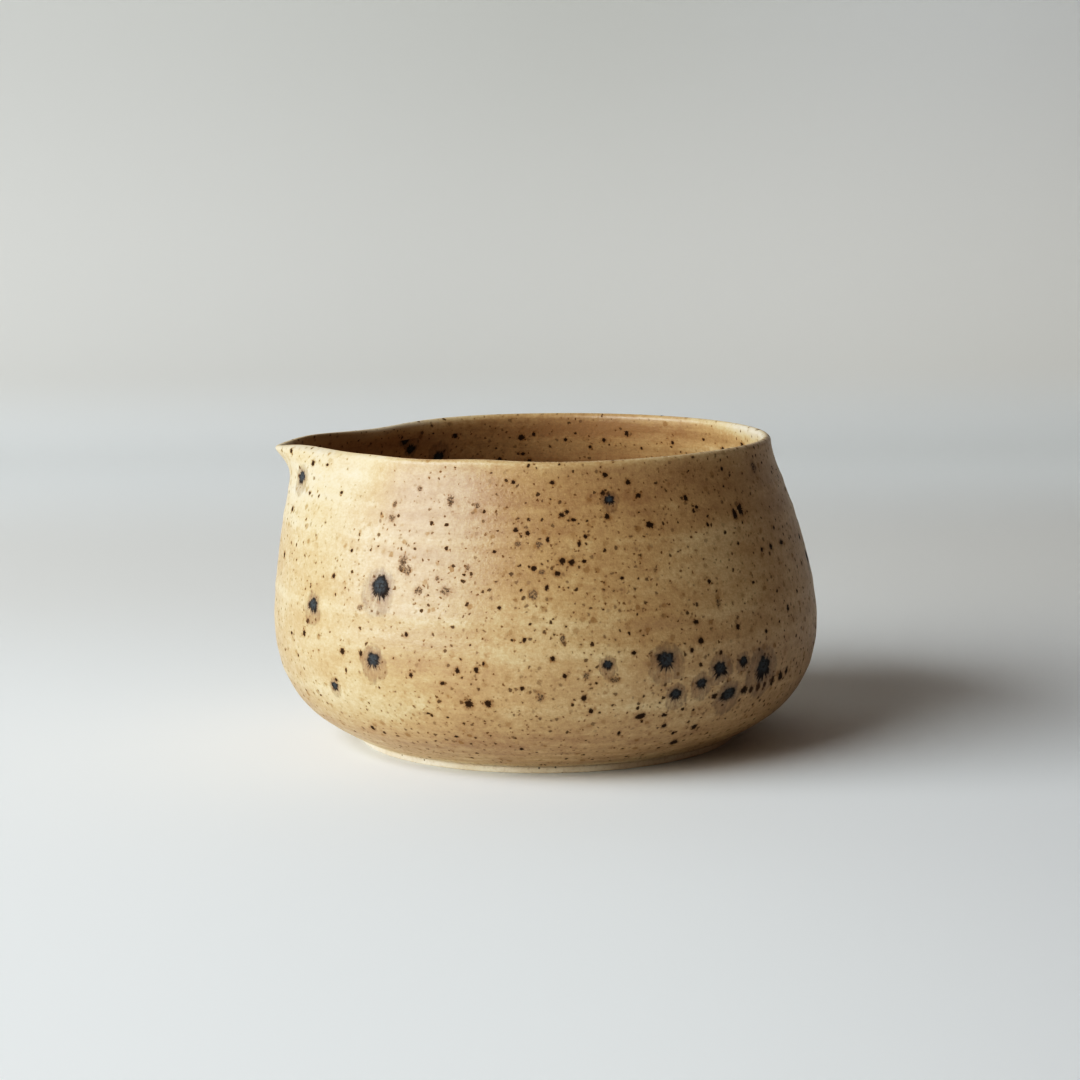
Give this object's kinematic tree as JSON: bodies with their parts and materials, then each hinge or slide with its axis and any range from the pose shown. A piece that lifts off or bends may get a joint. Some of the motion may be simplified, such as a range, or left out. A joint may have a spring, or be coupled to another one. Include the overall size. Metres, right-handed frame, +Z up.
{
  "type": "yarn bowl",
  "caption": "Round-bellied wheel-thrown stoneware bowl with a thin rim pinched into a pouring lip and a low unglazed foot, speckled satin glaze, for holding a ball of yarn.",
  "frame": {"origin": "centre of the foot, on the table", "axes": "+Z up out of the mouth, -X towards the pouring lip"},
  "size_m": [0.1402, 0.1396, 0.078],
  "materials": {
    "clay": "matte",
    "glaze": "satin",
    "glaze_inner": "satin"
  },
  "bodies": {
    "root": {"clay_body": "clay", "foot_ring": "clay", "glaze_outside": "glaze", "glaze_inside": "glaze_inner"}
  },
  "joints": []
}
